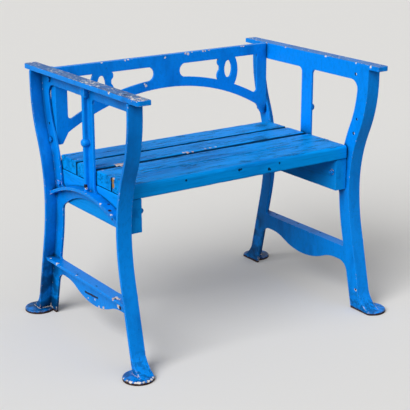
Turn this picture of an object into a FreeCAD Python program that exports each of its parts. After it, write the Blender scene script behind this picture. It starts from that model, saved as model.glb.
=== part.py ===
import FreeCAD, Part
import math
import os
import Sketcher

# Garden bench: two cast-iron end frames, a fretted cast-iron back brace and
# four seat planks on two upright bearers, held with bolts and nails.
# Lengths are millimetres and angles are degrees. X runs along the bench,
# Y towards its back and Z up, with the origin on the floor under its middle.

SIZES = [
    # end frames
    ("arm_rise", 234),
    ("web_face", 352),
    ("web_thickness", 7),
    ("leg_width", 41),
    ("leg_flange_depth", 41),
    ("flange_thickness", 8),
    ("waist_margin", 15),
    ("waist_drop", 114),
    ("lower_curve_radius", 560),
    ("leg_splay", 12.9),
    ("upper_curve_share", 0.51),
    ("shoulder_turn", 22.75),
    ("leg_neck", 31.8),
    ("plate_overhang", 38),
    ("plate_width", 38),
    ("plate_thickness", 13),
    ("plate_corner_radius", 9),
    ("plate_edge_radius", 2),
    ("plate_hole_radius", 3.2),
    ("plate_hole_inset", 25),
    ("plate_hole_end_gap", 13),
    ("plate_hole_middle", 102),
    ("apron_depth", 34),
    ("apron_leg_fillet", 26),
    ("apron_post_fillet", 14),
    ("post_half_width", 22.5),
    ("post_rib_depth", 23),
    ("post_rib_half", 5),
    ("post_rib_crown", 4),
    ("post_rib_root", 6),
    ("post_foot_fillet", 11),
    ("boss_radius", 11),
    ("boss_depth", 27),
    ("boss_round", 8),
    ("boss_drop", 149),
    ("top_boss_radius", 12),
    ("top_boss_depth", 22),
    ("top_boss_drop", 24),
    ("arch_drop", 18),
    ("arch_top_radius", 413),
    ("arch_flange_depth", 27),
    ("arch_depth", 29),
    ("arch_opening_radius", 255),
    ("arch_leg_fillet", 24),
    ("arch_corner_fillet", 9),
    ("stretcher_top", 173),
    ("stretcher_flange_depth", 33),
    ("stretcher_depth", 75),
    ("stretcher_neck_depth", 43),
    ("stretcher_neck_gap", 45),
    ("belly_share", 0.64),
    ("belly_fillet", 35),
    ("stretcher_fillet", 7),
    ("stretcher_hole_radius", 3),
    ("stretcher_hole_inset", 24),
    ("stretcher_hole_spacing", 104),
    ("foot_center_out", 33),
    ("foot_lead", 7.7),
    ("foot_radius", 40.5),
    ("foot_edge_height", 5),
    ("foot_round_radius", 4),
    ("foot_flare_radius", 70),
    ("spare_hole_radius", 3.5),
    ("spare_hole_inset", 24),
    ("spare_hole_drop", 142),
    # back brace
    ("brace_gap", 13),
    ("brace_thickness", 6.5),
    ("brace_drop", 1),
    ("brace_flange_depth", 16),
    ("brace_flange_thickness", 7),
    ("brace_end_depth", 27),
    ("brace_rail", 30),
    ("brace_arch_drop", 93),
    ("brace_arch_radius", 620),
    ("brace_band", 27),
    ("brace_lift", 23),
    ("brace_foot_width", 18),
    ("brace_post_width", 36),
    ("panel_half_width", 43),
    ("slot_end_bulge", 15),
    ("spindle_inset", 130),
    ("spindle_top_half", 9),
    ("spindle_neck_half", 6),
    ("spindle_foot_half", 11),
    ("spindle_neck_top", 51),
    ("spindle_neck_bottom", 62),
    ("spindle_swell", 5),
    ("ring_inset", 105),
    ("ring_half_width", 8),
    ("ring_half_height", 20),
    ("ring_side_bulge", 5),
    ("ring_end_bulge", 5),
    ("ring_drop", 62),
    ("ring_outer_top_inset", 79),
    ("ring_outer_foot_inset", 82),
    ("ring_outer_bulge", 10),
    ("brace_corner_fillet", 9),
    # seat planks and bearers
    ("seat_top", 471),
    ("plank_thickness", 38),
    ("plank_width", 89),
    ("plank_gap", 2),
    ("plank_end_gap", 2),
    ("plank_edge_radius", 3),
    ("nosing_radius", 8),
    ("seat_lead", 6),
    ("bearer_thickness", 38),
    ("bearer_depth", 89),
    ("bearer_setback", 4),
    ("bearer_edge_radius", 3),
    # fasteners
    ("bolt_radius", 4),
    ("bolt_hole_radius", 4.5),
    ("hex_flats", 13),
    ("hex_head_height", 5.3),
    ("nut_height", 6.8),
    ("nut_clearance", 0.15),
    ("washer_radius", 8),
    ("washer_hole_radius", 4.3),
    ("washer_thickness", 1.6),
    ("thread_end", 3),
    ("bearer_bolt_inset", 30),
    ("bolt_nail_gap", 6),
    ("brace_bolt_inset", 18),
    ("brace_bolt_drop", 31),
    ("brace_bolt_rise", 14),
    ("nail_radius", 1.7),
    ("nail_head_radius", 3.8),
    ("nail_head_thickness", 1.4),
    ("nail_bite", 27),
    ("nail_spread", 26),
    ("nail_clearance", 0.2),
]

FLOOR = "0"
LEFT = -1
RIGHT = 1
FRONT = -1
REAR = 1
BULGE_RIGHT = 1
BULGE_LEFT = -1
ALONG_X = FreeCAD.Vector(1, 0, 0)
ALONG_Y = FreeCAD.Vector(0, 1, 0)
PARALLEL = 1e-6

document = FreeCAD.newDocument("garden_bench")
sheet = document.addObject("Spreadsheet::Sheet", "Sizes")
for row, (name, number) in enumerate(SIZES, start=1):
    cell = "B%d" % row
    sheet.set("A%d" % row, name)
    sheet.set(cell, str(number))
    sheet.setAlias(cell, name)
document.recompute()


# Expressions over the sheet

size_names = {name for name, number in SIZES}


def term(text):
    """Expression with every size name replaced by its cell in the sheet."""
    words = []
    word = ""
    for letter in text + " ":
        if letter.isalpha() or letter == "_":
            word += letter
            continue
        words.append("Sizes." + word if word in size_names else word)
        words.append(letter)
        word = ""
    return "".join(words).strip()


def number_of(text):
    """Number that an expression over the size names gives."""
    return float(sheet.evalExpression(term(text)))


# Outlines: a path is a list of corners (x, y) and a list of the runs between
# them, each None for a straight run or (radius, side that it bulges to).

def reverse(path):
    """The same path walked from its other end."""
    corners, runs = path
    turned = [run and (run[0], -run[1]) for run in reversed(runs)]
    return list(reversed(corners)), turned


def mirror(path):
    """The path mirrored across the sketch's vertical axis."""
    corners, runs = path
    flipped = [("-(%s)" % x, y) for x, y in corners]
    return flipped, [run and (run[0], -run[1]) for run in runs]


def join(*paths):
    """One path through all the given ones, with straight runs between them."""
    corners = []
    runs = []
    for part_corners, part_runs in paths:
        if corners:
            runs.append(None)
        corners += part_corners
        runs += part_runs
    return corners, runs


def line_path(*corners):
    """Path of straight runs."""
    return list(corners), [None] * (len(corners) - 1)


def arc_middle(start, end, radius, side):
    """Middle point of the shorter arc between two points."""
    chord = end - start
    half = chord.Length / 2
    rise = radius - math.sqrt(max(radius * radius - half * half, 0))
    across = FreeCAD.Vector(chord.y, -chord.x, 0).normalize()
    return (start + end) / 2 + across * (rise * side)


def draw_path(sketch, path):
    """Draw a closed outline, every corner and radius bound to the sheet."""
    corners, runs = path
    runs = runs + [None] * (len(corners) - len(runs))
    points = [FreeCAD.Vector(number_of(x), number_of(y), 0) for x, y in corners]
    ends = []
    for index, run in enumerate(runs):
        start = points[index]
        end = points[(index + 1) % len(points)]
        if run is None:
            geometry = sketch.addGeometry(Part.LineSegment(start, end), False)
            ends.append((geometry, 1, 2))
            continue
        radius, side = run
        middle = arc_middle(start, end, number_of(radius), side)
        if side == BULGE_RIGHT:
            geometry = sketch.addGeometry(Part.Arc(start, middle, end), False)
            ends.append((geometry, 1, 2))
        else:
            geometry = sketch.addGeometry(Part.Arc(end, middle, start), False)
            ends.append((geometry, 2, 1))
        bind(sketch, Sketcher.Constraint("Radius", geometry, number_of(radius)), radius)
    for index, (x, y) in enumerate(corners):
        geometry, first, last = ends[index]
        previous, previous_first, previous_last = ends[index - 1]
        sketch.addConstraint(
            Sketcher.Constraint("Coincident", previous, previous_last, geometry, first)
        )
        place_point(sketch, geometry, first, x, y)


def bind(sketch, constraint, text):
    """Add a constraint whose value follows an expression."""
    index = sketch.addConstraint(constraint)
    sketch.setExpression("Constraints[%d]" % index, term(text))


def place_point(sketch, geometry, end, x, y):
    """Fix a point of a sketch at (x, y) from its origin."""
    for kind, text in (("DistanceX", x), ("DistanceY", y)):
        bind(sketch, Sketcher.Constraint(kind, -1, 1, geometry, end, number_of(text)), text)


def draw_circle(sketch, x, y, radius):
    """Circle with its centre and radius bound to the sheet."""
    center = FreeCAD.Vector(number_of(x), number_of(y), 0)
    circle = Part.Circle(center, FreeCAD.Vector(0, 0, 1), number_of(radius))
    geometry = sketch.addGeometry(circle, False)
    bind(sketch, Sketcher.Constraint("Radius", geometry, number_of(radius)), radius)
    place_point(sketch, geometry, 3, x, y)


def draw_hexagon(sketch, x, y, flats):
    """Hexagon with two level flats, its size measured across them."""
    half_flat = "%s / 2" % flats
    half_point = "%s / sqrt(3)" % flats
    quarter = "%s / (2 * sqrt(3))" % flats
    draw_path(sketch, line_path(
        ("%s + %s" % (x, half_point), y),
        ("%s + %s" % (x, quarter), "%s + %s" % (y, half_flat)),
        ("%s - %s" % (x, quarter), "%s + %s" % (y, half_flat)),
        ("%s - %s" % (x, half_point), y),
        ("%s - %s" % (x, quarter), "%s - %s" % (y, half_flat)),
        ("%s + %s" % (x, quarter), "%s - %s" % (y, half_flat)),
    ))


def draw_box(sketch, left, right, low, high):
    """Rectangle between two x and two y values."""
    draw_path(sketch, line_path((left, low), (right, low), (right, high), (left, high)))


# Bodies, sketches and features

def new_body(label):
    """Empty body of one named piece."""
    body = document.addObject("PartDesign::Body", label)
    body.Label = label
    body.AllowCompound = True
    return body


def new_sketch(body, plane, name, offset="0", shift="0"):
    """Sketch on one of the body's own planes, moved off it along its normal
    and, where asked, along its own x axis."""
    sketch = body.newObject("Sketcher::SketchObject", name)
    support = [item for item in body.Origin.OriginFeatures if item.Role == plane][0]
    sketch.AttachmentSupport = [(support, "")]
    sketch.MapMode = "FlatFace"
    sketch.setExpression("AttachmentOffset.Base.z", term(offset))
    sketch.setExpression("AttachmentOffset.Base.x", term(shift))
    return sketch


def add_pad(body, sketch, length, reverse_side=False, both=False):
    """Material from a sketch over a length, to one side or to both."""
    pad = body.newObject("PartDesign::Pad", sketch.Name + "_pad")
    pad.Profile = sketch
    pad.setExpression("Length", term(length))
    pad.Reversed = reverse_side
    pad.Midplane = both
    pad.Refine = True
    sketch.Visibility = False
    return pad


def cut_through(body, sketch):
    """Cut a sketch right through the body, to both sides of its plane."""
    before = finished_volume(body)
    pocket = body.newObject("PartDesign::Pocket", sketch.Name + "_cut")
    pocket.Profile = sketch
    pocket.Type = "ThroughAll"
    pocket.Midplane = True
    check_cut(body, before, sketch.Name)
    return pocket


def cut_down(body, sketch, depth):
    """Cut a sketch to a depth against its plane's normal."""
    before = finished_volume(body)
    pocket = body.newObject("PartDesign::Pocket", sketch.Name + "_cut")
    pocket.Profile = sketch
    pocket.setExpression("Length", term(depth))
    check_cut(body, before, sketch.Name)
    return pocket


def finished_volume(body):
    """Volume of the body as far as it is built."""
    document.recompute()
    return body.Shape.Volume


def check_cut(body, before, name):
    """Stop when a cut took nothing away."""
    if finished_volume(body) >= before:
        raise RuntimeError("cut removed nothing: " + name)


def add_fillet(body, name, edges, radius):
    """Round the given edges of the body's last feature."""
    base = body.Tip
    fillet = body.newObject("PartDesign::Fillet", name)
    fillet.Base = (base, edges)
    fillet.setExpression("Radius", term(radius))
    document.recompute()
    return fillet


def edges_along(shape, axis):
    """Straight edges parallel to an axis, with their names and middles."""
    found = []
    for index, edge in enumerate(shape.Edges, start=1):
        if edge.Curve.TypeId != "Part::GeomLine":
            continue
        if edge.Curve.Direction.cross(axis).Length > PARALLEL:
            continue
        found.append(("Edge%d" % index, edge.CenterOfMass))
    return found


def corner_edges(body, axis, corners):
    """Names of the edges along an axis nearest to the given (x, y, z) corners,
    measured square to that axis."""
    document.recompute()
    edges = edges_along(body.Shape, axis)
    names = []
    for corner in corners:
        place = FreeCAD.Vector(*[number_of(text) for text in corner])
        nearest = min(edges, key=lambda item: (item[1] - place).cross(axis).Length)
        names.append(nearest[0])
    return sorted(set(names))


# Places of the seat, which the legs, the arches and the brace follow

PLANK_NAMES = ["front_seat_plank", "second_seat_plank", "third_seat_plank", "rear_seat_plank"]
PLANK_BOTTOM = "(seat_top - plank_thickness)"
SEAT_HALF = "((%d * plank_width + %d * plank_gap) / 2)" % (len(PLANK_NAMES), len(PLANK_NAMES) - 1)
SEAT_FRONT = "(-%s - seat_lead)" % SEAT_HALF
NAIL_ACROSS = "(web_face - bearer_thickness / 2)"

# The S-shaped edge of the legs, as expressions

ARM_TOP = "(seat_top + arm_rise)"
PLATE_BOTTOM = "(%s - plate_thickness)" % ARM_TOP
APRON_BOTTOM = "(%s - apron_depth)" % PLATE_BOTTOM
WAIST_HEIGHT = "(seat_top - waist_drop)"
WAIST_HALF = "(%s + waist_margin)" % SEAT_HALF
SHOULDER_HEIGHT = "(%s - leg_neck)" % PLATE_BOTTOM
CURVE_RADII = "((%s - %s) / sin(shoulder_turn))" % (SHOULDER_HEIGHT, WAIST_HEIGHT)
UPPER_CURVE = "(%s * upper_curve_share)" % CURVE_RADII
SHOULDER_CURVE = "(%s * (1 - upper_curve_share))" % CURVE_RADII
TOP_HALF_DEPTH = "(%s + %s * (1 - cos(shoulder_turn)))" % (WAIST_HALF, CURVE_RADII)
PLATE_HALF = "(%s + plate_overhang)" % TOP_HALF_DEPTH
ARCH_TOP = "(%s - arch_drop)" % PLANK_BOTTOM
ARCH_OPENING = "(%s - arch_depth)" % ARCH_TOP
BELLY_HEIGHT = "(stretcher_top - stretcher_depth)"
NECK_HEIGHT = "(stretcher_top - stretcher_neck_depth)"


def leg_line_depth(inset, height):
    """Depth of the straight lower leg edge at a height."""
    reach = "(lower_curve_radius + %s)" % inset
    depth = "(%s + lower_curve_radius - %s * cos(leg_splay))" % (WAIST_HALF, reach)
    start = "(%s - %s * sin(leg_splay))" % (WAIST_HEIGHT, reach)
    return "(%s + (%s - %s) * tan(leg_splay))" % (depth, start, height)


def leg_edge(inset):
    """Rear leg's edge from the floor to the arm plate, set in from its back."""
    lower = "(lower_curve_radius + %s)" % inset
    upper = "(%s + %s)" % (UPPER_CURVE, inset)
    shoulder = "(%s - %s)" % (SHOULDER_CURVE, inset)
    corners = [
        (leg_line_depth(inset, FLOOR), FLOOR),
        (
            "%s + lower_curve_radius - %s * cos(leg_splay)" % (WAIST_HALF, lower),
            "%s - %s * sin(leg_splay)" % (WAIST_HEIGHT, lower),
        ),
        ("%s - %s" % (WAIST_HALF, inset), WAIST_HEIGHT),
        (
            "%s + %s - %s * cos(shoulder_turn)" % (WAIST_HALF, UPPER_CURVE, upper),
            "%s + %s * sin(shoulder_turn)" % (WAIST_HEIGHT, upper),
        ),
        ("%s - %s" % (TOP_HALF_DEPTH, inset), SHOULDER_HEIGHT),
        ("%s - %s" % (TOP_HALF_DEPTH, inset), PLATE_BOTTOM),
    ]
    runs = [None, (lower, BULGE_LEFT), (upper, BULGE_LEFT), (shoulder, BULGE_RIGHT), None]
    return corners, runs


def edge_depth(height):
    """Depth of the legs' outer edge at a height between waist and neck."""
    turn_height = "(%s + %s * sin(shoulder_turn))" % (WAIST_HEIGHT, UPPER_CURVE)
    below = "(%s + %s)" % (WAIST_HALF, sag(UPPER_CURVE, "%s - %s" % (height, WAIST_HEIGHT)))
    above = "(%s - %s)" % (
        TOP_HALF_DEPTH, sag(SHOULDER_CURVE, "%s - %s" % (SHOULDER_HEIGHT, height))
    )
    return "(%s < %s ? %s : %s)" % (height, turn_height, below, above)


def draw_leg_strips(sketch, width):
    """Strips of a given width along the outer edges of both legs."""
    rear = join(leg_edge("0"), reverse(leg_edge(width)))
    draw_path(sketch, rear)
    draw_path(sketch, mirror(rear))


def sag(radius, half):
    """Drop of an arc from its crown at a half width."""
    return "(%s - sqrt(%s ^ 2 - (%s) ^ 2))" % (radius, radius, half)


# Where the bolts go

BRACE_TOP = "(%s - brace_drop)" % ARM_TOP
BRACE_FOOT = "(seat_top + brace_lift)"
BRACE_FRONT = "(%s - seat_lead + brace_gap)" % SEAT_HALF
BEARER_BOLT_HEIGHT = "(%s - nail_bite - bolt_nail_gap - bolt_radius)" % PLANK_BOTTOM
BEARER_BOLT_DEPTH = "(%s - bearer_bolt_inset)" % edge_depth(BEARER_BOLT_HEIGHT)
BRACE_BOLT_DEPTH = "(%s + brace_bolt_inset)" % BRACE_FRONT
BRACE_BOLT_UPPER = "(%s - brace_bolt_drop)" % BRACE_TOP
BRACE_BOLT_LOWER = "(%s + brace_bolt_rise)" % BRACE_FOOT
BEARER_BOLT_PLACES = [
    ("-" + BEARER_BOLT_DEPTH, BEARER_BOLT_HEIGHT),
    (BEARER_BOLT_DEPTH, BEARER_BOLT_HEIGHT),
]
BRACE_BOLT_PLACES = [
    (BRACE_BOLT_DEPTH, BRACE_BOLT_UPPER),
    (BRACE_BOLT_DEPTH, BRACE_BOLT_LOWER),
]
STRETCHER_HOLE_SHARES = (-1.5, -0.5, 0.5, 1.5)


def signed(place, side):
    """Place along X on the given side of the bench."""
    return place if side == RIGHT else "-" + place


# Cast-iron end frames

def side_frame(label, side):
    """End frame in one casting: a web on the inner side with flanges outward."""
    body = new_body(label)
    outward = side == LEFT
    face = signed("web_face", side)
    frame_feet(body, face, side)
    frame_web(body, face, outward)
    frame_openings(body)
    frame_flanges(body, face, outward)
    frame_bosses(body, face, side)
    frame_plate(body, side)
    frame_holes(body, face, side)
    return body


def frame_web(body, face, outward):
    """Web in bands: apron, legs, arch, stretcher and centre post."""
    sketch = new_sketch(body, "YZ_Plane", body.Name + "_apron", face)
    reach = "(%s - leg_width / 2)" % TOP_HALF_DEPTH
    draw_box(sketch, "-" + reach, reach, APRON_BOTTOM, PLATE_BOTTOM)
    add_pad(body, sketch, "web_thickness", outward)

    sketch = new_sketch(body, "YZ_Plane", body.Name + "_legs", face)
    draw_leg_strips(sketch, "leg_width")
    add_pad(body, sketch, "web_thickness", outward)

    sketch = new_sketch(body, "YZ_Plane", body.Name + "_arch", face)
    draw_arch(sketch, "(%s - leg_width / 2)" % WAIST_HALF, ARCH_OPENING, "arch_opening_radius")
    add_pad(body, sketch, "web_thickness", outward)

    sketch = new_sketch(body, "YZ_Plane", body.Name + "_stretcher", face)
    reach = "(%s - leg_width / 2)" % leg_line_depth("0", "stretcher_top")
    lower_side = join(line_path(("-" + reach, NECK_HEIGHT)), belly_curve(), line_path((reach, NECK_HEIGHT)))
    upper_side = line_path((reach, "stretcher_top"), ("-" + reach, "stretcher_top"))
    draw_path(sketch, join(lower_side, upper_side))
    add_pad(body, sketch, "web_thickness", outward)

    sketch = new_sketch(body, "YZ_Plane", body.Name + "_post", face)
    draw_box(sketch, "-post_half_width", "post_half_width",
             "%s - arch_depth / 2" % ARCH_TOP, PLATE_BOTTOM)
    add_pad(body, sketch, "web_thickness", outward)


def belly_curve():
    """Lower edge of the stretcher: hollow at both ends, full in the middle."""
    neck = "(%s - stretcher_neck_gap)" % leg_line_depth("leg_width", NECK_HEIGHT)
    drop = "(stretcher_depth - stretcher_neck_depth)"
    radii = "((%s ^ 2 + %s ^ 2) / (2 * %s))" % (neck, drop, drop)
    middle = "(%s * belly_share)" % radii
    hollow = "(%s * (1 - belly_share))" % radii
    turn = "(%s * belly_share)" % neck
    turn_height = "(%s + %s * belly_share)" % (BELLY_HEIGHT, drop)
    corners = [
        ("-" + neck, NECK_HEIGHT),
        ("-" + turn, turn_height),
        (turn, turn_height),
        (neck, NECK_HEIGHT),
    ]
    return corners, [(hollow, BULGE_LEFT), (middle, BULGE_RIGHT), (hollow, BULGE_LEFT)]


def draw_arch(sketch, reach, under_height, under_radius):
    """Arched band from one leg to the other, crowned in the middle."""
    top = "(%s - %s)" % (ARCH_TOP, sag("arch_top_radius", reach))
    low = "(%s - %s)" % (under_height, sag(under_radius, reach))
    crown = [(reach, top), ("-" + reach, top)], [("arch_top_radius", BULGE_RIGHT)]
    under = [("-" + reach, low), (reach, low)], [(under_radius, BULGE_LEFT)]
    draw_path(sketch, join(crown, under))


def frame_openings(body):
    """Round the inner corners of the web's openings."""
    apron_leg = "(%s - leg_width)" % TOP_HALF_DEPTH
    waist = "(%s - leg_width)" % WAIST_HALF
    arch_end = "(%s - %s)" % (ARCH_OPENING, sag("arch_opening_radius", waist))
    arch_top_end = "(%s - %s)" % (ARCH_TOP, sag("arch_top_radius", waist))
    post_foot = "(%s - %s)" % (ARCH_TOP, sag("arch_top_radius", "post_half_width"))
    stretcher_end = leg_line_depth("leg_width", "stretcher_top")
    neck_end = leg_line_depth("leg_width", NECK_HEIGHT)
    rounds = [
        ("apron_leg", apron_leg, APRON_BOTTOM, "apron_leg_fillet"),
        ("apron_post", "post_half_width", APRON_BOTTOM, "apron_post_fillet"),
        ("post_foot", "post_half_width", post_foot, "post_foot_fillet"),
        ("arch_top", waist, arch_top_end, "arch_corner_fillet"),
        ("arch_leg", waist, arch_end, "arch_leg_fillet"),
        ("stretcher", stretcher_end, "stretcher_top", "stretcher_fillet"),
        ("belly", neck_end, NECK_HEIGHT, "belly_fillet"),
    ]
    for name, y, z, radius in rounds:
        edges = corner_edges(body, ALONG_X, [("0", y, z), ("0", "-" + y, z)])
        add_fillet(body, body.Name + "_" + name + "_round", edges, radius)


def frame_flanges(body, face, outward):
    """Flanges that stand out from the web and the rounded rib of the post."""
    sketch = new_sketch(body, "YZ_Plane", body.Name + "_leg_flanges", face)
    draw_leg_strips(sketch, "flange_thickness")
    add_pad(body, sketch, "leg_flange_depth", outward)

    sketch = new_sketch(body, "YZ_Plane", body.Name + "_arch_flange", face)
    draw_arch(sketch, "(%s - flange_thickness / 2)" % WAIST_HALF,
              "(%s - flange_thickness)" % ARCH_TOP, "(arch_top_radius - flange_thickness)")
    add_pad(body, sketch, "arch_flange_depth", outward)

    sketch = new_sketch(body, "YZ_Plane", body.Name + "_stretcher_flange", face)
    reach = "(%s - flange_thickness / 2)" % leg_line_depth("0", "stretcher_top")
    draw_box(sketch, "-" + reach, reach, "stretcher_top - flange_thickness", "stretcher_top")
    add_pad(body, sketch, "stretcher_flange_depth", outward)

    low = "(%s - flange_thickness / 2)" % ARCH_TOP
    sketch = new_sketch(body, "XY_Plane", body.Name + "_post_rib", low)
    rib = rib_section()
    draw_path(sketch, mirror(rib) if outward else rib)
    add_pad(body, sketch, "(%s - %s)" % (PLATE_BOTTOM, low))


def rib_section():
    """Section of the post's rib: round on its crest, hollow at its roots."""
    web_middle = "(web_face + web_thickness / 2)"
    root = "(web_face + web_thickness)"
    foot = "(post_rib_half + post_rib_root)"
    crest = "(web_face + post_rib_depth - post_rib_crown)"
    corners = [
        (web_middle, "-" + foot),
        (root, "-" + foot),
        (root + " + post_rib_root", "-post_rib_half"),
        (crest, "-post_rib_half"),
        (crest, "post_rib_half"),
        (root + " + post_rib_root", "post_rib_half"),
        (root, foot),
        (web_middle, foot),
    ]
    runs = [
        None,
        ("post_rib_root", BULGE_LEFT),
        None,
        (bulged("post_rib_half", "post_rib_crown"), BULGE_RIGHT),
        None,
        ("post_rib_root", BULGE_LEFT),
        None,
    ]
    return corners, runs


def frame_bosses(body, face, side):
    """Two round-headed bosses on the post, the upper one with a neck."""
    low = "(%s - top_boss_drop)" % PLATE_BOTTOM
    sketch = new_sketch(body, "YZ_Plane", body.Name + "_top_boss_neck", face)
    draw_box(sketch, "-top_boss_radius", "top_boss_radius", low, PLATE_BOTTOM)
    add_pad(body, sketch, "top_boss_depth", side == LEFT)
    web_middle = "(web_face + web_thickness / 2)"
    for name, height, radius, depth in (
        ("boss", "(%s - boss_drop)" % PLATE_BOTTOM, "boss_radius", "boss_depth"),
        ("top_boss", low, "top_boss_radius", "top_boss_depth"),
    ):
        head = "(web_face + %s)" % depth
        profile = (
            [
                (web_middle, "0"),
                (head, "0"),
                (head, "%s - boss_round" % radius),
                (head + " - boss_round", radius),
                (web_middle, radius),
            ],
            [None, None, ("boss_round", BULGE_RIGHT), None],
        )
        sketch = new_sketch(body, "XY_Plane", body.Name + "_" + name, height)
        draw_path(sketch, profile if side == RIGHT else mirror(profile))
        turn_sketch(body, sketch, "H_Axis")


def turn_sketch(body, sketch, axis):
    """Solid turned from a sketch round one of its own axes."""
    turned = body.newObject("PartDesign::Revolution", sketch.Name + "_turned")
    turned.Profile = sketch
    turned.ReferenceAxis = (sketch, [axis])
    turned.Refine = True
    sketch.Visibility = False


def frame_feet(body, face, side):
    """Round cast feet, cut level with the web, and the legs' flares onto them."""
    shoulder = "(foot_edge_height + foot_round_radius)"
    rim = "(foot_radius - foot_round_radius)"
    across = signed("(web_face + foot_center_out)", side)
    depth = "(%s + foot_lead)" % leg_line_depth("0", FLOOR)

    flare = flare_outline()
    sketch = new_sketch(body, "YZ_Plane", body.Name + "_flares", face)
    draw_path(sketch, flare)
    draw_path(sketch, mirror(flare))
    add_pad(body, sketch, "leg_flange_depth", side == LEFT)
    sketch = new_sketch(body, "XY_Plane", body.Name + "_flare_ends")
    far = signed("(web_face + foot_center_out + 2 * foot_radius)", side)
    back = "(%s + 2 * foot_radius)" % depth
    near = signed("(web_face - foot_radius)", side)
    draw_box(sketch, near, far, "-" + back, back)
    draw_circle(sketch, across, depth, rim)
    draw_circle(sketch, across, "-" + depth, rim)
    cut_through(body, sketch)

    profile = (
        [
            (FLOOR, FLOOR),
            ("foot_radius", FLOOR),
            ("foot_radius", "foot_edge_height"),
            (rim, shoulder),
            ("0", shoulder),
        ],
        [None, None, ("foot_round_radius", BULGE_RIGHT), None],
    )
    for end, name in ((FRONT, "front"), (REAR, "rear")):
        # this plane's normal points forward, so its offset runs against Y
        offset = depth if end == FRONT else "-" + depth
        sketch = new_sketch(body, "XZ_Plane", body.Name + "_" + name + "_foot", offset, across)
        draw_path(sketch, profile)
        turn_sketch(body, sketch, "V_Axis")
    sketch = new_sketch(body, "XY_Plane", body.Name + "_feet_inside")
    draw_box(sketch, near, face, "-" + back, back)
    cut_through(body, sketch)


def flare_outline():
    """Rear leg's hollow curve from its flange down into the foot."""
    reach = "(foot_flare_radius * tan((90 - leg_splay) / 2))"
    toe = "(%s + %s)" % (leg_line_depth("0", "foot_edge_height"), reach)
    start = "(foot_edge_height + %s * cos(leg_splay))" % reach
    corners = [
        (leg_line_depth("flange_thickness / 2", FLOOR), FLOOR),
        (toe, FLOOR),
        (toe, "foot_edge_height"),
        (leg_line_depth("0", start), start),
        (leg_line_depth("flange_thickness / 2", start), start),
    ]
    return corners, [None, None, ("foot_flare_radius", BULGE_LEFT), None]


def frame_plate(body, side):
    """Flat arm plate on top, its inner edge level with the web."""
    sketch = new_sketch(body, "XY_Plane", body.Name + "_plate", PLATE_BOTTOM)
    near = "web_face"
    far = "(web_face + plate_width)"
    end = PLATE_HALF
    inner = "(%s - plate_corner_radius)" % end
    outer = "(%s - plate_corner_radius)" % far
    plate = (
        [
            (near, "-" + end),
            (outer, "-" + end),
            (far, "-" + inner),
            (far, inner),
            (outer, end),
            (near, end),
        ],
        [
            None,
            ("plate_corner_radius", BULGE_RIGHT),
            None,
            ("plate_corner_radius", BULGE_RIGHT),
            None,
        ],
    )
    draw_path(sketch, plate if side == RIGHT else mirror(plate))
    add_pad(body, sketch, "plate_thickness")
    document.recompute()
    top_face = max(body.Shape.Faces, key=lambda face: face.CenterOfMass.z)
    rim = [
        "Edge%d" % index
        for index, edge in enumerate(body.Shape.Edges, start=1)
        if any(edge.isSame(other) for other in top_face.Edges)
    ]
    add_fillet(body, body.Name + "_plate_round", rim, "plate_edge_radius")


def frame_holes(body, face, side):
    """Screw holes of the plate and stretcher and bolt holes of the web."""
    sketch = new_sketch(body, "XY_Plane", body.Name + "_plate_holes", ARM_TOP)
    across = signed("(web_face + plate_hole_inset)", side)
    end_hole = "(%s - plate_hole_end_gap)" % PLATE_HALF
    for y in ("-" + end_hole, "-plate_hole_middle", "plate_hole_middle", end_hole):
        draw_circle(sketch, across, y, "plate_hole_radius")
    cut_down(body, sketch, "plate_thickness")

    sketch = new_sketch(body, "XY_Plane", body.Name + "_stretcher_holes", "stretcher_top")
    across = signed("(web_face + stretcher_hole_inset)", side)
    for share in STRETCHER_HOLE_SHARES:
        draw_circle(sketch, across, "%s * stretcher_hole_spacing" % share,
                    "stretcher_hole_radius")
    cut_down(body, sketch, "flange_thickness")

    sketch = new_sketch(body, "YZ_Plane", body.Name + "_web_holes")
    spare_height = "(%s - spare_hole_drop)" % PLATE_BOTTOM
    spare_depth = "(%s - spare_hole_inset)" % edge_depth(spare_height)
    for y, z, radius in (
        (BEARER_BOLT_DEPTH, BEARER_BOLT_HEIGHT, "bolt_hole_radius"),
        (BRACE_BOLT_DEPTH, BRACE_BOLT_UPPER, "bolt_hole_radius"),
        (BRACE_BOLT_DEPTH, BRACE_BOLT_LOWER, "bolt_hole_radius"),
        (spare_depth, spare_height, "spare_hole_radius"),
    ):
        draw_circle(sketch, y, z, radius)
        draw_circle(sketch, "-" + y, z, radius)
    cut_through(body, sketch)


# Cast-iron back brace

BRACE_POST = "(web_face - brace_post_width)"
BAND_RADIUS = "(brace_arch_radius + brace_band)"
SLOT_TOP = "(%s - brace_rail)" % BRACE_TOP


def band_height(x):
    """Upper edge of the arched band at a place along the brace."""
    crown = "(%s - brace_arch_drop + brace_band)" % BRACE_TOP
    return "(%s - %s)" % (crown, sag(BAND_RADIUS, x))


def bulged(half_chord, bulge):
    """Radius of an arc over a half chord that bulges by a given amount."""
    return "(((%s) ^ 2 + %s ^ 2) / (2 * %s))" % (half_chord, bulge, bulge)


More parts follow.
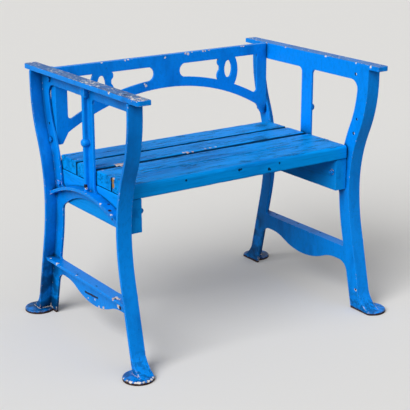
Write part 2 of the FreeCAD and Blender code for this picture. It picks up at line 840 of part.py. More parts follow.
def back_brace():
    """Fretted back: rail, slots, end ornaments, posts and an arched lower edge."""
    body = new_body("back_brace")
    front = "-" + BRACE_FRONT
    sketch = new_sketch(body, "XZ_Plane", "brace_panel", front)
    crown = "(%s - brace_arch_drop)" % BRACE_TOP
    springing = "(%s - %s)" % (crown, sag("brace_arch_radius", BRACE_POST))
    foot_inner = "(web_face - brace_foot_width)"
    arch = (
        [(BRACE_POST, springing), ("-" + BRACE_POST, springing)],
        [("brace_arch_radius", BULGE_RIGHT)],
    )
    outside = line_path(
        ("-" + foot_inner, BRACE_FOOT),
        ("-web_face", BRACE_FOOT),
        ("-web_face", BRACE_TOP),
        ("web_face", BRACE_TOP),
        ("web_face", BRACE_FOOT),
        (foot_inner, BRACE_FOOT),
    )
    draw_path(sketch, join(arch, outside))
    add_pad(body, sketch, "brace_thickness", True)

    sketch = new_sketch(body, "XZ_Plane", "brace_slots", front)
    for path in (slot_outline(), ring_outline(), end_outline()):
        draw_path(sketch, path)
        draw_path(sketch, mirror(path))
    cut_through(body, sketch)
    corner = band_height(BRACE_POST)
    edges = corner_edges(body, ALONG_Y, [(BRACE_POST, "0", corner), ("-" + BRACE_POST, "0", corner)])
    add_fillet(body, "brace_end_round", edges, "brace_corner_fillet")

    sketch = new_sketch(body, "XZ_Plane", "brace_top_flange", front)
    draw_box(sketch, "-web_face", "web_face",
             "%s - brace_flange_thickness" % BRACE_TOP, BRACE_TOP)
    add_pad(body, sketch, "brace_flange_depth", True)

    sketch = new_sketch(body, "XZ_Plane", "brace_end_flanges", front)
    inner = "(web_face - brace_flange_thickness)"
    draw_box(sketch, inner, "web_face", BRACE_FOOT, BRACE_TOP)
    draw_box(sketch, "-web_face", "-" + inner, BRACE_FOOT, BRACE_TOP)
    add_pad(body, sketch, "brace_end_depth", True)

    sketch = new_sketch(body, "YZ_Plane", "brace_bolt_holes")
    for z in (BRACE_BOLT_UPPER, BRACE_BOLT_LOWER):
        draw_circle(sketch, BRACE_BOLT_DEPTH, z, "bolt_hole_radius")
    cut_through(body, sketch)
    return body


def slot_outline():
    """Long slot: round towards the middle, shaped by the spindle at its end."""
    start = "(panel_half_width + slot_end_bulge)"
    half_height = "(%s - %s) / 2" % (SLOT_TOP, band_height(start))
    spindle = "%s - spindle_inset" % BRACE_POST
    foot = "(%s - spindle_foot_half)" % spindle
    neck = "(%s - spindle_neck_half)" % spindle
    head = "(%s - spindle_top_half)" % spindle
    neck_top = "(%s - spindle_neck_top)" % BRACE_TOP
    neck_bottom = "(%s - spindle_neck_bottom)" % BRACE_TOP
    lower_half = "(%s - %s) / 2" % (neck_bottom, band_height(foot))
    upper_half = "(%s - %s) / 2" % (SLOT_TOP, neck_top)
    corners = [
        (start, SLOT_TOP),
        (start, band_height(start)),
        (foot, band_height(foot)),
        (neck, neck_bottom),
        (neck, neck_top),
        (head, SLOT_TOP),
    ]
    runs = [
        (bulged(half_height, "slot_end_bulge"), BULGE_RIGHT),
        (BAND_RADIUS, BULGE_LEFT),
        (bulged(lower_half, "spindle_swell"), BULGE_LEFT),
        None,
        (bulged(upper_half, "spindle_swell"), BULGE_LEFT),
    ]
    return corners, runs


def ring_outline():
    """Oval hole of the ring beside the spindle."""
    middle = "(%s - ring_drop)" % BRACE_TOP
    left = "(%s - ring_inset - ring_half_width)" % BRACE_POST
    right = "(%s - ring_inset + ring_half_width)" % BRACE_POST
    low = "(%s - ring_half_height)" % middle
    high = "(%s + ring_half_height)" % middle
    end_radius = bulged("ring_half_width", "ring_end_bulge")
    side_radius = bulged("ring_half_height", "ring_side_bulge")
    corners = [(left, low), (right, low), (right, high), (left, high)]
    runs = [
        (end_radius, BULGE_RIGHT),
        (side_radius, BULGE_RIGHT),
        (end_radius, BULGE_RIGHT),
        (side_radius, BULGE_RIGHT),
    ]
    return corners, runs


def end_outline():
    """Opening between the ring's bowed side and the end post."""
    head = "(%s - ring_outer_top_inset)" % BRACE_POST
    foot = "(%s - ring_outer_foot_inset)" % BRACE_POST
    half = "(%s - %s) / 2" % (SLOT_TOP, band_height(foot))
    corners = [
        (head, SLOT_TOP),
        (foot, band_height(foot)),
        (BRACE_POST, band_height(BRACE_POST)),
        (BRACE_POST, SLOT_TOP),
    ]
    runs = [
        (bulged(half, "ring_outer_bulge"), BULGE_LEFT),
        (BAND_RADIUS, BULGE_LEFT),
        None,
    ]
    return corners, runs


# Seat planks and the bearers under them

def plank_front(place):
    """Front edge of a plank, counted from the front of the seat."""
    return "(%d * (plank_width + plank_gap) + %s)" % (place, SEAT_FRONT)


def nail_rows(place):
    """Depths of the two nails that hold each end of a plank."""
    middle = "(%s + plank_width / 2)" % plank_front(place)
    return ["(%s - nail_spread)" % middle, "(%s + nail_spread)" % middle]


def seat_plank(label, place):
    """Seat plank laid flat along the bench, with eased edges."""
    body = new_body(label)
    sketch = new_sketch(body, "YZ_Plane", body.Name + "_section")
    front = plank_front(place)
    back = "(%s + plank_width)" % front
    draw_box(sketch, front, back, PLANK_BOTTOM, "seat_top")
    add_pad(body, sketch, "2 * (web_face - plank_end_gap)", both=True)
    front_radius = "nosing_radius" if place == 0 else "plank_edge_radius"
    for name, y, z, radius in (
        ("front_edge", front, "seat_top", front_radius),
        ("back_edge", back, "seat_top", "plank_edge_radius"),
        ("low_front_edge", front, PLANK_BOTTOM, "plank_edge_radius"),
        ("low_back_edge", back, PLANK_BOTTOM, "plank_edge_radius"),
    ):
        edges = corner_edges(body, ALONG_X, [("0", y, z)])
        add_fillet(body, body.Name + "_" + name, edges, radius)
    for name, radius, depth in (
        ("nail_holes", "(nail_radius + nail_clearance)", "plank_thickness"),
        ("nail_seats", "(nail_head_radius + nail_clearance)", "nail_head_thickness"),
    ):
        sketch = new_sketch(body, "XY_Plane", body.Name + "_" + name, "seat_top")
        for y in nail_rows(place):
            draw_circle(sketch, NAIL_ACROSS, y, radius)
            draw_circle(sketch, "-" + NAIL_ACROSS, y, radius)
        cut_down(body, sketch, depth)
    return body


def seat_bearer(label, side):
    """Upright board that lies against an end frame and carries the planks."""
    body = new_body(label)
    front = "(%s + bearer_setback)" % SEAT_FRONT
    back = "-" + front
    bottom = "(%s - bearer_depth)" % PLANK_BOTTOM
    sketch = new_sketch(body, "YZ_Plane", body.Name + "_side", signed("web_face", side))
    draw_box(sketch, front, back, bottom, PLANK_BOTTOM)
    add_pad(body, sketch, "bearer_thickness", side == RIGHT)
    inner = signed("(web_face - bearer_thickness)", side)
    edges = corner_edges(body, ALONG_Y, [(inner, "0", bottom)])
    add_fillet(body, body.Name + "_round", edges, "bearer_edge_radius")
    sketch = new_sketch(body, "YZ_Plane", body.Name + "_bolt_holes")
    for y, z in BEARER_BOLT_PLACES:
        draw_circle(sketch, y, z, "bolt_hole_radius")
    cut_through(body, sketch)
    across = signed(NAIL_ACROSS, side)
    sketch = new_sketch(body, "XY_Plane", body.Name + "_nail_holes", PLANK_BOTTOM)
    for place in range(len(PLANK_NAMES)):
        for y in nail_rows(place):
            draw_circle(sketch, across, y, "(nail_radius + nail_clearance)")
    cut_down(body, sketch, "nail_bite + nail_clearance")
    return body


# Bolts, washers, nuts and nails

def bolt_group(label, side, places, head_face, length):
    """Hexagon-head bolts with their heads on a face turned away from the seat."""
    body = new_body(label)
    sketch = new_sketch(body, "YZ_Plane", body.Name + "_heads", signed(head_face, side))
    for y, z in places:
        draw_hexagon(sketch, y, z, "hex_flats")
    add_pad(body, sketch, "hex_head_height", side == LEFT)
    sketch = new_sketch(body, "YZ_Plane", body.Name + "_shanks", signed(head_face, side))
    for y, z in places:
        draw_circle(sketch, y, z, "bolt_radius")
    add_pad(body, sketch, length, side == RIGHT)
    return body


def ring_group(label, side, places, face, thickness, hole, hexagonal):
    """Washers or nuts that lie on a face towards the seat."""
    body = new_body(label)
    sketch = new_sketch(body, "YZ_Plane", body.Name + "_rings", signed(face, side))
    for y, z in places:
        if hexagonal:
            draw_hexagon(sketch, y, z, "hex_flats")
        else:
            draw_circle(sketch, y, z, "washer_radius")
        draw_circle(sketch, y, z, hole)
    add_pad(body, sketch, thickness, side == RIGHT)
    return body


def bolted_joint(name, side_name, side, places, grip):
    """Bolts, washers and nuts of one joint between a web and what it carries."""
    inner = "(web_face - %s)" % grip
    nut_face = "(%s - washer_thickness)" % inner
    outer = "(web_face + web_thickness)"
    length = "(%s - %s + nut_height + thread_end)" % (outer, nut_face)
    prefix = side_name + "_" + name
    return [
        bolt_group(prefix + "_bolts", side, places, outer, length),
        ring_group(prefix + "_washers", side, places, inner, "washer_thickness",
                   "washer_hole_radius", False),
        ring_group(prefix + "_nuts", side, places, nut_face, "nut_height",
                   "(bolt_radius + nut_clearance)", True),
    ]


def nail_group(label, side):
    """Nails through the plank ends into one bearer, flush with the seat."""
    body = new_body(label)
    across = signed(NAIL_ACROSS, side)
    for name, radius, length in (
        ("heads", "nail_head_radius", "nail_head_thickness"),
        ("shanks", "nail_radius", "(plank_thickness + nail_bite)"),
    ):
        sketch = new_sketch(body, "XY_Plane", body.Name + "_" + name, "seat_top")
        for place in range(len(PLANK_NAMES)):
            for y in nail_rows(place):
                draw_circle(sketch, across, y, radius)
        add_pad(body, sketch, length, True)
    return body


pieces = []
for side_name, side in (("left", LEFT), ("right", RIGHT)):
    pieces.append(side_frame(side_name + "_side_frame", side))
    pieces.append(seat_bearer(side_name + "_seat_bearer", side))
    pieces += bolted_joint("bearer", side_name, side, BEARER_BOLT_PLACES, "bearer_thickness")
    pieces += bolted_joint("brace", side_name, side, BRACE_BOLT_PLACES, "brace_flange_thickness")
    pieces.append(nail_group(side_name + "_plank_nails", side))
for place, plank_name in enumerate(PLANK_NAMES):
    pieces.append(seat_plank(plank_name, place))
pieces.append(back_brace())
document.recompute()

for item in document.Objects:
    if "Invalid" in item.State or "Error" in item.State:
        raise RuntimeError("failed object: " + item.Name)
for piece in pieces:
    if piece.Shape.isNull() or not piece.Shape.isValid():
        raise RuntimeError("bad shape: " + piece.Label)

os.makedirs("parts", exist_ok=True)
for piece in pieces:
    piece.Shape.exportStep("parts/" + piece.Label + ".step")
    box = piece.Shape.BoundBox
    print(piece.Label, len(piece.Shape.Solids), "solids", round(piece.Shape.Volume), "mm3",
          [round(edge, 1) for edge in (box.XMin, box.XMax, box.YMin, box.YMax, box.ZMin, box.ZMax)])
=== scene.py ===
import math

import bmesh
import bpy
from mathutils import Matrix, Vector, noise
from mathutils.bvhtree import BVHTree


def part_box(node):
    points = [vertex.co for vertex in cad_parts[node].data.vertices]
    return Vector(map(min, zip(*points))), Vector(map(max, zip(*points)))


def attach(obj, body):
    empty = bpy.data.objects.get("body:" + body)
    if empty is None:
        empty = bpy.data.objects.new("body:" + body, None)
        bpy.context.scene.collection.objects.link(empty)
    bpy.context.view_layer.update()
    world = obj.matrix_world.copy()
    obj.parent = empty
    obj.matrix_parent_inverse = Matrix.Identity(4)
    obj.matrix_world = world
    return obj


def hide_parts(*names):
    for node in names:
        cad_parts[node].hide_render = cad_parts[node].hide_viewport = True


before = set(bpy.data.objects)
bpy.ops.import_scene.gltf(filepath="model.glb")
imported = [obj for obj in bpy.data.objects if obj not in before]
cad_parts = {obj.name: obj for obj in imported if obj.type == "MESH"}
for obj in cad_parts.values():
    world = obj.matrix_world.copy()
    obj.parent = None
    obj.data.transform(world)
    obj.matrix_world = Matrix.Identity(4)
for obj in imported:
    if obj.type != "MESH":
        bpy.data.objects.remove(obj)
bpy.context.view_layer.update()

# End frames
# Each end of the bench is one iron casting: a flat web towards the seat, with
# flanges, a centre rib, bosses and round feet outside. The sand mould leaves
# soft edges, and thick gloss blue paint chips off the rims down to its primer.

CAST_EDGE = 0.0012  # rounding of a casting's edges
CAST_EDGE_STEPS = 3
EDGE_ANGLE = math.radians(32)  # a fold sharper than this is an edge
FLAT_ANGLE = math.radians(0.6)  # faces this flat to each other are one face
WELD_GAP = 0.00001
FACE_SPACING = 0.047  # long faces are cut this often, for even shading
SNAP_GAP = 0.0002  # corners this near a cut count as on it
THIN_SHARE = 1.6  # faces thinner than this many roundings keep sharp edges

FRAME_BLUE = (0.000, 0.275, 0.930)
FRAME_DEEP_BLUE = (0.000, 0.180, 0.660)
RUBBED_BLUE = (0.050, 0.400, 0.980)
DULL_BLUE = (0.002, 0.085, 0.330)
WORN_BLUE = (0.140, 0.330, 0.600)
# near-black blue of dirt, pits and scars, and of painted shade in corners, recesses and gaps
DIRT_AND_SHADE_BLUE = (0.001, 0.016, 0.050)
PRIMER_WHITE = (0.800, 0.760, 0.740)
PRIMER_PINK = (0.620, 0.430, 0.390)
RUST = (0.040, 0.018, 0.012)

ARM_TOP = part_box("left_side_frame")[1].z
ARM_TOP_SKIN = (ARM_TOP - 0.004, ARM_TOP - 0.001)
ARM_SIDES = (-0.1, 0.1)  # wear goes over from the left arm to the right one here
ARM_LENGTH = (0.26, -0.12)  # and grows from rear to front here
FACING_UP = (0.6, 0.9)
REAR_LEG_START = (0.17, 0.22)
# height over which the painted shade on the rear legs fades in
LOW_SHADE_HEIGHT = (0.26, 0.12)
SPLASH_HEIGHT = (0.090, 0.008)
FOOT_HEIGHT = (0.026, 0.016)
RUST_HEIGHT = (0.013, 0.009)
CHIP_FADE = 0.02  # how fast a worn patch of noise runs out at its edge
SPOT_CORE = 0.85  # a placed spot is full to this share of its radius
PAINT_GLOSS = 0.09

# Factor, first, second and result of a Mix node. They go by number, because
# its sockets for numbers and for colours share their names.
MIX_SOCKETS = {"FLOAT": (0, 2, 3, 0), "RGBA": (0, 6, 7, 2)}


class NodeRecipe:
    """Node tree, with short calls for the steps that mix a finish or a light."""

    def __init__(self, tree):
        self.tree = tree

    def node(self, kind, inputs, **settings):
        """New node with its settings made and its inputs set or wired."""
        made = self.tree.nodes.new("ShaderNode" + kind)
        for name, value in settings.items():
            setattr(made, name, value)
        for name, value in inputs.items():
            self.feed(made.inputs[name], value)
        return made

    def step(self, kind, inputs, output=0, **settings):
        """One output of a new node."""
        return self.node(kind, inputs, **settings).outputs[output]

    def feed(self, socket, value):
        """Wire a socket, or set its number or colour."""
        if isinstance(value, bpy.types.NodeSocket):
            self.tree.links.new(value, socket)
        elif isinstance(value, tuple) and socket.type == "RGBA":
            socket.default_value = (*value, 1)
        else:
            socket.default_value = value

    def math(self, operation, first, second=0.0):
        """Result of one sum."""
        return self.step("Math", {0: first, 1: second}, operation=operation)

    def both(self, *masks):
        """One only where every mask is one."""
        total = masks[0]
        for mask in masks[1:]:
            total = self.math("MULTIPLY", total, mask)
        return total

    def either(self, *masks):
        """One where any mask is one."""
        total = masks[0]
        for mask in masks[1:]:
            total = self.math("MAXIMUM", total, mask)
        return total

    def ramp(self, value, start, end, first=0.0, last=1.0, kind="SMOOTHSTEP"):
        """First up to the start, last from the end on, and a smooth run between."""
        return self.step("MapRange", {
            "Value": value, "From Min": start, "From Max": end, "To Min": first, "To Max": last,
        }, interpolation_type=kind)

    def mix(self, share, first, second, kind="RGBA"):
        """Colour or number that goes from the first to the second."""
        *sockets, result = MIX_SOCKETS[kind]
        inputs = dict(zip(sockets, (share, first, second)))
        return self.step("Mix", inputs, result, data_type=kind)


class PaintRecipe(NodeRecipe):
    """Material of one finish, mixed by where a point of the piece is."""

    def __init__(self, name):
        self.material = bpy.data.materials.new(name)
        self.material.use_nodes = True
        super().__init__(self.material.node_tree)
        self.shader = self.tree.nodes["Principled BSDF"]
        self.place = self.step("TexCoord", {}, "Object")
        place_parts = self.node("SeparateXYZ", {"Vector": self.place})
        self.across, self.depth, self.height = place_parts.outputs
        self.normal = self.step("NewGeometry", {}, "Normal")
        normal_parts = self.node("SeparateXYZ", {"Vector": self.normal})
        _, self.facing_back, self.facing_up = normal_parts.outputs

    def cloud(self, size, detail=3.0, rough=0.5, stretch=(1, 1, 1), shift=0.0, place=None):
        """Noise whose patches have about this size, drawn out along an axis."""
        moved = self.step("Mapping", {
            "Vector": place or self.place, "Location": (shift, shift, shift), "Scale": stretch,
        })
        inputs = {"Vector": moved, "Scale": 1 / size, "Detail": detail, "Roughness": rough}
        return self.step("TexNoise", inputs, "Fac")

    def patches(self, size, start, end, **texture):
        """Patches of about this size: fewer and smaller as start and end rise."""
        return self.ramp(self.cloud(size, **texture), start, end)

    def near(self, spots, ragged, size):
        """Patches round given places (x, y, z, radius) with a ragged outline."""
        cloud = self.cloud(size, detail=4.0)
        outline = self.math("MULTIPLY", self.math("SUBTRACT", cloud, 0.5), ragged)
        total = 0.0
        for x, y, z, radius in spots:
            ends = {0: self.place, 1: (x, y, z)}
            away = self.step("VectorMath", ends, "Value", operation="DISTANCE")
            reach = self.math("ADD", self.math("DIVIDE", away, radius), outline)
            total = self.either(self.ramp(reach, 1.0, SPOT_CORE), total)
        return total

    def rim(self, radius, start, end):
        """One along edges and corners tighter than a radius, nought on flats."""
        soft = self.step("Bevel", {"Radius": radius}, samples=6)
        normals = {0: soft, 1: self.normal}
        same = self.step("VectorMath", normals, "Value", operation="DOT_PRODUCT")
        return self.ramp(self.math("SUBTRACT", 1.0, same), start, end)

    def crevice(self, reach, closed, open_from):
        """One where less than the closed share of the surroundings is open."""
        open_share = self.step("AmbientOcclusion", {"Distance": reach}, "AO", samples=8)
        return self.ramp(open_share, open_from, closed)

    def coat(self, under, over, mask, cover):
        """Colour over another where the mask says, by no more than the cover."""
        return self.mix(self.math("MULTIPLY", mask, cover), under, over)

    def relief(self, *layers):
        """Bumps, each (height, strength, depth), laid over each other."""
        normal = None
        for height, strength, depth in layers:
            inputs = {"Height": height, "Strength": strength, "Distance": depth}
            if normal:
                inputs["Normal"] = normal
            normal = self.step("Bump", inputs)
        self.feed(self.shader.inputs["Normal"], normal)

    def finish(self, colour, roughness, gloss):
        """Material with its colour and roughness wired and its gloss set."""
        self.feed(self.shader.inputs["Base Color"], colour)
        self.feed(self.shader.inputs["Roughness"], roughness)
        self.shader.inputs["Specular IOR Level"].default_value = gloss
        return self.material


def iron_paint(name, chips, scars, arm_wear, low_wear_and_shade, rim_wear):
    """Gloss paint brushed on rough iron, chipped to primer and rust.

    The chips and scars are placed spots. The arm wear is that of the left and
    the right arm's top, the low wear and shade that of the feet and of what is
    low down, with the painted shade on the rear legs, and fewer rims chip as the
    rim wear rises.
    """
    paint = PaintRecipe(name)
    brush_marks = paint.patches(0.070, 0.26, 0.52, detail=4.0, rough=0.6, stretch=(1, 1, 0.35))
    colour = paint.mix(brush_marks, FRAME_DEEP_BLUE, FRAME_BLUE)
    mottle = paint.patches(0.0075, 0.46, 0.66, detail=5.0, rough=0.7, stretch=(1, 1, 0.6),
                           shift=6.0)
    colour = paint.coat(colour, FRAME_DEEP_BLUE, mottle, cover=0.42)
    pits = paint.patches(0.0050, 0.70, 0.74, rough=0.6, shift=8.0)
    colour = paint.coat(colour, DIRT_AND_SHADE_BLUE, pits, cover=0.70)
    rubbed_patches = paint.patches(0.05, 0.30, 0.60, detail=4.0, rough=0.6)
    rubbed = paint.both(paint.rim(0.0025, 0.01, 0.08), rubbed_patches)
    colour = paint.coat(colour, RUBBED_BLUE, rubbed, cover=0.45)

    # Painted shade, with some dirt, darkens corners and hollows, and more painted
    # shade darkens the deeper recesses. Dirt splashes the feet, and painted shade
    # with some grime darkens the rear legs low down.
    crevice_shade_and_dirt = paint.both(paint.crevice(0.014, 0.35, 0.82), paint.patches(0.02, 0.22, 0.48))
    colour = paint.coat(colour, DIRT_AND_SHADE_BLUE, crevice_shade_and_dirt, cover=0.85)
    # Painted shade in deep recesses, such as the frame under the seat.
    shade_patches = paint.patches(0.08, 0.30, 0.60, rough=0.6)
    recess_shade = paint.both(paint.crevice(0.055, 0.35, 0.95), shade_patches)
    colour = paint.coat(colour, DIRT_AND_SHADE_BLUE, recess_shade, cover=0.60)
    splash_patches = paint.patches(0.014, 0.44, 0.60, detail=4.0, rough=0.65)
    splash = paint.both(paint.ramp(paint.height, *SPLASH_HEIGHT), splash_patches, low_wear_and_shade)
    colour = paint.coat(colour, DIRT_AND_SHADE_BLUE, splash, cover=0.55)
    # Painted shade, with some grime, on the rear legs low down.
    rear_leg_shade = paint.both(paint.ramp(paint.depth, *REAR_LEG_START),
                           paint.ramp(paint.height, *LOW_SHADE_HEIGHT), low_wear_and_shade)
    low_shade_and_grime = paint.both(rear_leg_shade, paint.patches(0.04, 0.25, 0.60, detail=4.0, rough=0.6))
    colour = paint.coat(colour, DIRT_AND_SHADE_BLUE, low_shade_and_grime, cover=0.78)

    # The tops of the arm plates are dulled, and scuffed most at the front.
    arm_top = paint.both(paint.ramp(paint.height, *ARM_TOP_SKIN),
                         paint.ramp(paint.facing_up, *FACING_UP))
    this_side = paint.ramp(paint.across, *ARM_SIDES, *arm_wear, kind="LINEAR")
    to_front = paint.ramp(paint.depth, *ARM_LENGTH, first=0.72, last=1.0, kind="LINEAR")
    dull = paint.both(arm_top, this_side)
    colour = paint.coat(colour, DULL_BLUE, dull, cover=0.55)
    worn_place = paint.both(dull, to_front)
    tired_patches = paint.patches(0.05, 0.28, 0.50, detail=4.0, rough=0.6, stretch=(1, 0.4, 1),
                                  shift=1.0)
    colour = paint.coat(colour, DIRT_AND_SHADE_BLUE, paint.both(worn_place, tired_patches), cover=0.50)
    flecks = paint.patches(0.011, 0.51, 0.60, detail=6.0, rough=0.7, stretch=(1, 0.45, 1))
    scuff = paint.both(worn_place, flecks)
    colour = paint.coat(colour, WORN_BLUE, scuff, cover=0.90)

    # Chips on rims, arm tops and feet, and at the given places.
    small = paint.cloud(0.0085, detail=4.0, rough=0.65)
    patchy = paint.math("MULTIPLY", paint.cloud(0.120, detail=2.0), 0.35)
    spotty = paint.math("ADD", small, patchy)
    rim_chips = paint.both(paint.rim(0.003, 0.015, 0.10),
                           paint.ramp(spotty, rim_wear, rim_wear + CHIP_FADE))
    top_spots = paint.math("ADD", spotty, paint.math("MULTIPLY", worn_place, 0.10))
    top_chips = paint.both(arm_top, paint.ramp(worn_place, 0.15, 0.30),
                           paint.ramp(top_spots, 0.845, 0.860))
    foot_chips = paint.both(paint.rim(0.004, 0.005, 0.05), paint.ramp(paint.height, *FOOT_HEIGHT),
                            paint.ramp(small, 0.47, 0.50), low_wear_and_shade)
    placed_chips = paint.near(chips, ragged=1.6, size=0.005)
    bare = paint.either(rim_chips, top_chips, foot_chips, placed_chips)
    primer = paint.mix(paint.patches(0.012, 0.54, 0.66, shift=3.0), PRIMER_WHITE, PRIMER_PINK)
    primer = paint.mix(paint.patches(0.006, 0.58, 0.62, rough=0.6, shift=7.0), primer, RUST)
    colour = paint.mix(bare, colour, primer)

    # Rust creeps up the foot discs, and dark scars lie at the given places.
    ragged_edge = paint.math("MULTIPLY", paint.cloud(0.012, detail=4.0), 0.010)
    ragged_height = paint.math("ADD", paint.height, ragged_edge)
    foot_rust = paint.both(paint.ramp(ragged_height, *RUST_HEIGHT), low_wear_and_shade)
    colour = paint.mix(foot_rust, colour, RUST)
    scar = paint.near(scars, ragged=1.1, size=0.003)
    colour = paint.mix(scar, colour, paint.mix(paint.cloud(0.006), DIRT_AND_SHADE_BLUE, RUST))
    rust = paint.either(foot_rust, scar)

    unevenness = paint.math("MULTIPLY", paint.cloud(0.03, detail=4.0), 0.16)
    worn_rough = paint.math("MULTIPLY", paint.either(bare, rust, scuff), 0.65)
    roughness = paint.either(paint.math("ADD", 0.30, unevenness), worn_rough)
    paint.relief(
        (paint.cloud(0.028), 0.45, 0.0012),
        (paint.cloud(0.0045, rough=0.6, stretch=(1, 1, 0.5)), 0.35, 0.0004),
        (paint.math("SUBTRACT", 1.0, paint.either(bare, rust)), 0.7, 0.0006),
    )
    return paint.finish(colour, roughness, PAINT_GLOSS)


def cut_across(shape, axis, place, gap):
    """Cut every face where a plane square to the axis crosses it."""
    square = Vector([float(other == axis) for other in range(3)])
    bmesh.ops.bisect_plane(shape, geom=shape.verts[:] + shape.edges[:] + shape.faces[:],
                           dist=gap, plane_co=square * place, plane_no=square)


def round_off(shape, edges, radius, steps):
    """Round these edges."""
    bmesh.ops.bevel(shape, geom=edges, offset=radius, offset_type="OFFSET", segments=steps,
                    profile=0.5, affect="EDGES", clamp_overlap=False, material=-1)


def eased_casting(node, edge, steps):
    """Casting with its edges rounded and its inner corners filled."""
    cast = bmesh.new()
    cast.from_mesh(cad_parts[node].data)
    bmesh.ops.remove_doubles(cast, verts=cast.verts, dist=WELD_GAP)
    true_surface = BVHTree.FromBMesh(cast)
    bmesh.ops.dissolve_limit(cast, angle_limit=FLAT_ANGLE, verts=cast.verts, edges=cast.edges)
    low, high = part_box(node)
    for axis in range(3):
        for step in range(1, math.ceil((high - low)[axis] / FACE_SPACING)):
            cut_across(cast, axis, low[axis] + step * FACE_SPACING, SNAP_GAP)
    sharp = [
        rim for rim in cast.edges if rim.is_manifold and rim.calc_face_angle() > EDGE_ANGLE
        and all(face.calc_area() / rim.calc_length() > edge * THIN_SHARE for face in rim.link_faces)
    ]
    round_off(cast, sharp, edge, steps)
    for vertex in cast.verts:
        surface_place, _, _, gap = true_surface.find_nearest(vertex.co)
        if gap > edge:
            vertex.co = surface_place
    return cast


def place_piece(name, shape, material, slot, *nodes):
    """Finished piece that stands for its CAD nodes and rides with the bench."""
    mesh = bpy.data.meshes.new(name)
    bmesh.ops.recalc_face_normals(shape, faces=shape.faces)
    shape.to_mesh(mesh)
    shape.free()
    mesh.materials.append(material)
    mesh.polygons.foreach_set("use_smooth", [True] * len(mesh.polygons))
    piece = bpy.data.objects.new(name, mesh)
    bpy.context.scene.collection.objects.link(piece)
    weighted = piece.modifiers.new("even shading", "WEIGHTED_NORMAL")
    weighted.keep_sharp = True
    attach(piece, "root")
    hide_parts(*nodes)


# Chips and scars as (x, y, z, radius).
FRAME_CHIPS = [
    # rear leg and stretcher of the left frame
    (-0.400, 0.245, 0.512, 0.0040), (-0.398, 0.238, 0.480, 0.0050),
    (-0.379, 0.199, 0.173, 0.0030), (-0.382, 0.155, 0.173, 0.0055),
    (-0.401, 0.159, 0.173, 0.0030), (-0.383, 0.044, 0.173, 0.0025),
    (-0.395, 0.019, 0.173, 0.0035), (-0.388, -0.052, 0.173, 0.0025),
    (-0.397, -0.109, 0.173, 0.0050), (-0.395, -0.115, 0.173, 0.0030),
    (-0.400, -0.144, 0.173, 0.0030), (-0.402, -0.166, 0.173, 0.0065),
    (-0.384, -0.151, 0.173, 0.0060), (-0.374, -0.149, 0.173, 0.0060),
    (-0.390, -0.166, 0.173, 0.0055), (-0.375, -0.161, 0.173, 0.0060),
    (-0.359, -0.134, 0.142, 0.0080), (-0.359, 0.020, 0.095, 0.0045),
    (-0.359, -0.031, 0.103, 0.0040), (-0.359, -0.055, 0.108, 0.0050),
    (-0.359, 0.027, 0.109, 0.0025), (-0.359, -0.010, 0.117, 0.0030),
    # its arch rib and centre rib
    (-0.379, -0.088, 0.405, 0.0040), (-0.379, -0.140, 0.392, 0.0050),
    (-0.379, -0.160, 0.351, 0.0040), (-0.379, 0.144, 0.412, 0.0030),
    (-0.379, 0.127, 0.416, 0.0040), (-0.372, -0.006, 0.424, 0.0045),
    # its arm plate
    (-0.376, -0.243, 0.704, 0.0050), (-0.384, -0.289, 0.704, 0.0050),
    (-0.411, -0.245, 0.704, 0.0055), (-0.391, -0.164, 0.704, 0.0055),
    (-0.400, -0.200, 0.704, 0.0045), (-0.376, -0.088, 0.704, 0.0050),
    (-0.385, -0.268, 0.704, 0.0060), (-0.352, -0.180, 0.703, 0.0040),
    (-0.352, -0.235, 0.703, 0.0050),
    # arm plate, foot and leg of the right frame
    (0.352, -0.080, 0.704, 0.0038), (0.352, -0.206, 0.703, 0.0030),
    (0.352, -0.264, 0.702, 0.0040), (0.352, 0.100, 0.704, 0.0030),
    (0.352, 0.190, 0.704, 0.0036), (0.352, -0.300, 0.702, 0.0036),
    (0.389, -0.265, 0.020, 0.0050), (0.352, -0.240, 0.060, 0.0046),
]
FOOT_CENTRE = Vector((-0.385, -0.271, 0.009))
FOOT_RIM = 0.039
FOOT_RIM_CHIPS = {  # radius by degrees round the left front foot
    165: 0.003, 190: 0.004, 208: 0.005, 226: 0.004, 240: 0.006,
    258: 0.004, 276: 0.005, 294: 0.004, 312: 0.005,
}
for degrees, radius in FOOT_RIM_CHIPS.items():
    turn = math.radians(degrees)
    rim_place = FOOT_CENTRE + Vector((math.cos(turn), math.sin(turn), 0)) * FOOT_RIM
    FRAME_CHIPS.append((*rim_place, radius))

# A long dark scar runs along the left frame's stretcher.
STRETCHER_SCAR = [
    (-0.359, 0.042 - 0.006 * step, 0.1215 + 0.0004 * step, 0.0036) for step in range(12)
]
FRAME_SCARS = STRETCHER_SCAR + [
    # stretcher and centre rib of the left frame, and leg of the right one
    (-0.359, -0.142, 0.138, 0.0060), (-0.380, -0.157, 0.173, 0.0045),
    (-0.392, -0.158, 0.173, 0.0040), (-0.372, -0.002, 0.430, 0.0060),
    (-0.380, -0.004, 0.424, 0.0050), (0.352, -0.240, 0.060, 0.0028),
    # arm plate and arch rib of the left frame
    (-0.398, -0.262, 0.705, 0.0070), (-0.405, -0.276, 0.705, 0.0060),
    (-0.374, -0.215, 0.705, 0.0050), (-0.386, -0.104, 0.403, 0.0050),
    (-0.372, -0.124, 0.395, 0.0050), (-0.381, -0.147, 0.380, 0.0045),
    (-0.388, -0.122, 0.396, 0.0040), (-0.360, -0.098, 0.405, 0.0040),
]
iron_blue = iron_paint("blue paint on iron", FRAME_CHIPS, FRAME_SCARS,
                       arm_wear=(1.0, 0.55), low_wear_and_shade=1.0, rim_wear=0.785)
for side in ("left", "right"):
    casting = eased_casting(side + "_side_frame", CAST_EDGE, CAST_EDGE_STEPS)
    place_piece(side + "_end_casting", casting, iron_blue, "blue_cast_iron", side + "_side_frame")

